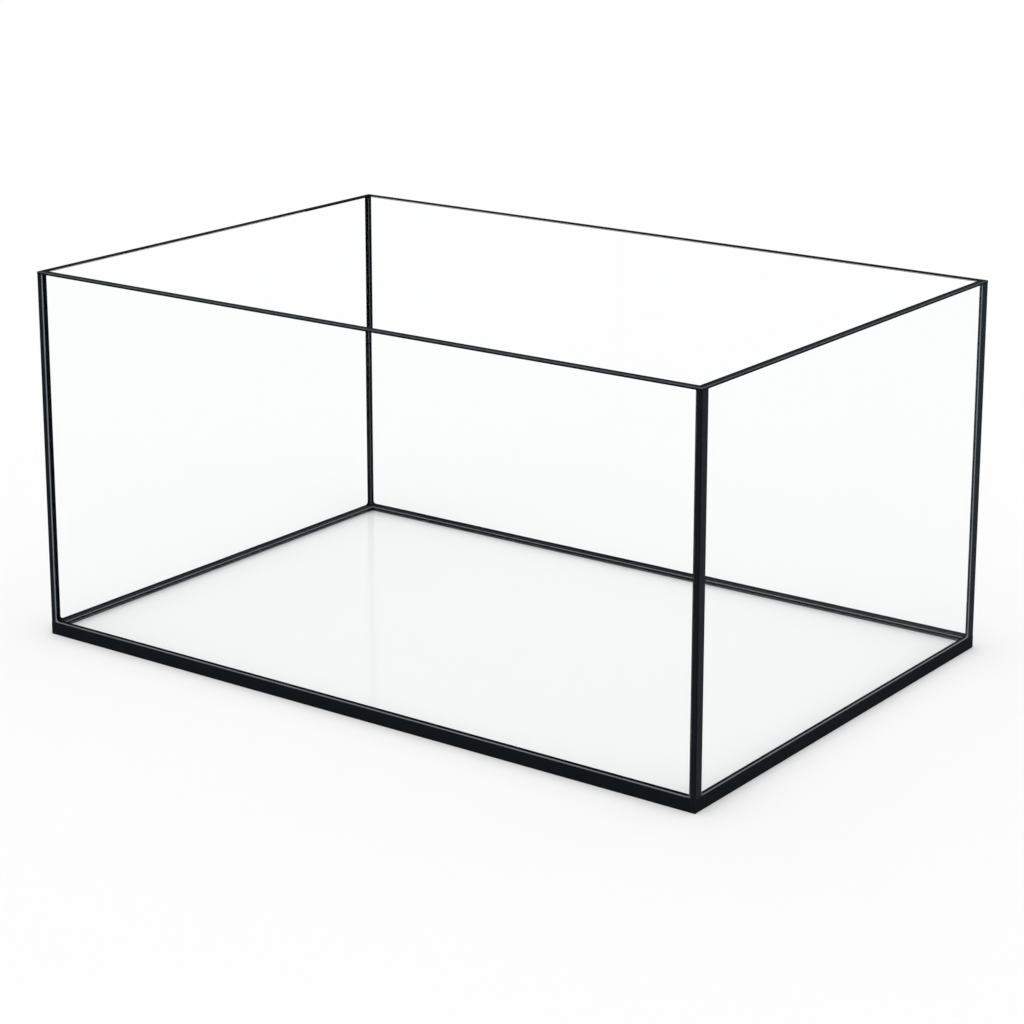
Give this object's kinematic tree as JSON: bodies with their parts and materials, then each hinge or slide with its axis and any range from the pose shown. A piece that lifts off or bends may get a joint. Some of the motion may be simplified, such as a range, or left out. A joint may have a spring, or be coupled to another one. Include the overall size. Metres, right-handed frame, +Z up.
{
  "type": "aquarium tank",
  "caption": "Open-topped rectangular clear glass tank, panes bonded with black silicone and edged on every side with slim black trim; stands flat on a low base frame.",
  "frame": {"origin": "centre of the underside of the base frame, on the surface that the tank stands on", "axes": "+X along the long side to the right, -Y to the front, +Z up"},
  "size_m": [0.914, 0.61, 0.445],
  "materials": {
    "glass": "clear float glass, polished, very slight green tint",
    "black_trim": "satin black powder coat on thin metal section",
    "black_silicone": "tooled black silicone, smooth semi-gloss skin",
    "bedding_rubber": "matt black rubber strip"
  },
  "bodies": {
    "root": {"bottom_pane": "glass", "front_pane": "glass", "front_base_rail": "black_trim", "front_bedding_strip": "bedding_rubber", "front_rim_strip": "black_trim", "front_edge_seal": "black_silicone", "front_bottom_joint": "black_silicone", "front_floor_fillet": "black_silicone", "right_pane": "glass", "right_base_rail": "black_trim", "right_bedding_strip": "bedding_rubber", "right_rim_strip": "black_trim", "right_edge_seal": "black_silicone", "right_bottom_joint": "black_silicone", "right_floor_fillet": "black_silicone", "back_pane": "glass", "back_base_rail": "black_trim", "back_bedding_strip": "bedding_rubber", "back_rim_strip": "black_trim", "back_edge_seal": "black_silicone", "back_bottom_joint": "black_silicone", "back_floor_fillet": "black_silicone", "left_pane": "glass", "left_base_rail": "black_trim", "left_bedding_strip": "bedding_rubber", "left_rim_strip": "black_trim", "left_edge_seal": "black_silicone", "left_bottom_joint": "black_silicone", "left_floor_fillet": "black_silicone", "front_left_corner_angle": "black_trim", "front_left_corner_joint": "black_silicone", "front_left_corner_fillet": "black_silicone", "front_right_corner_angle": "black_trim", "front_right_corner_joint": "black_silicone", "front_right_corner_fillet": "black_silicone", "back_right_corner_angle": "black_trim", "back_right_corner_joint": "black_silicone", "back_right_corner_fillet": "black_silicone", "back_left_corner_angle": "black_trim", "back_left_corner_joint": "black_silicone", "back_left_corner_fillet": "black_silicone"}
  },
  "joints": []
}
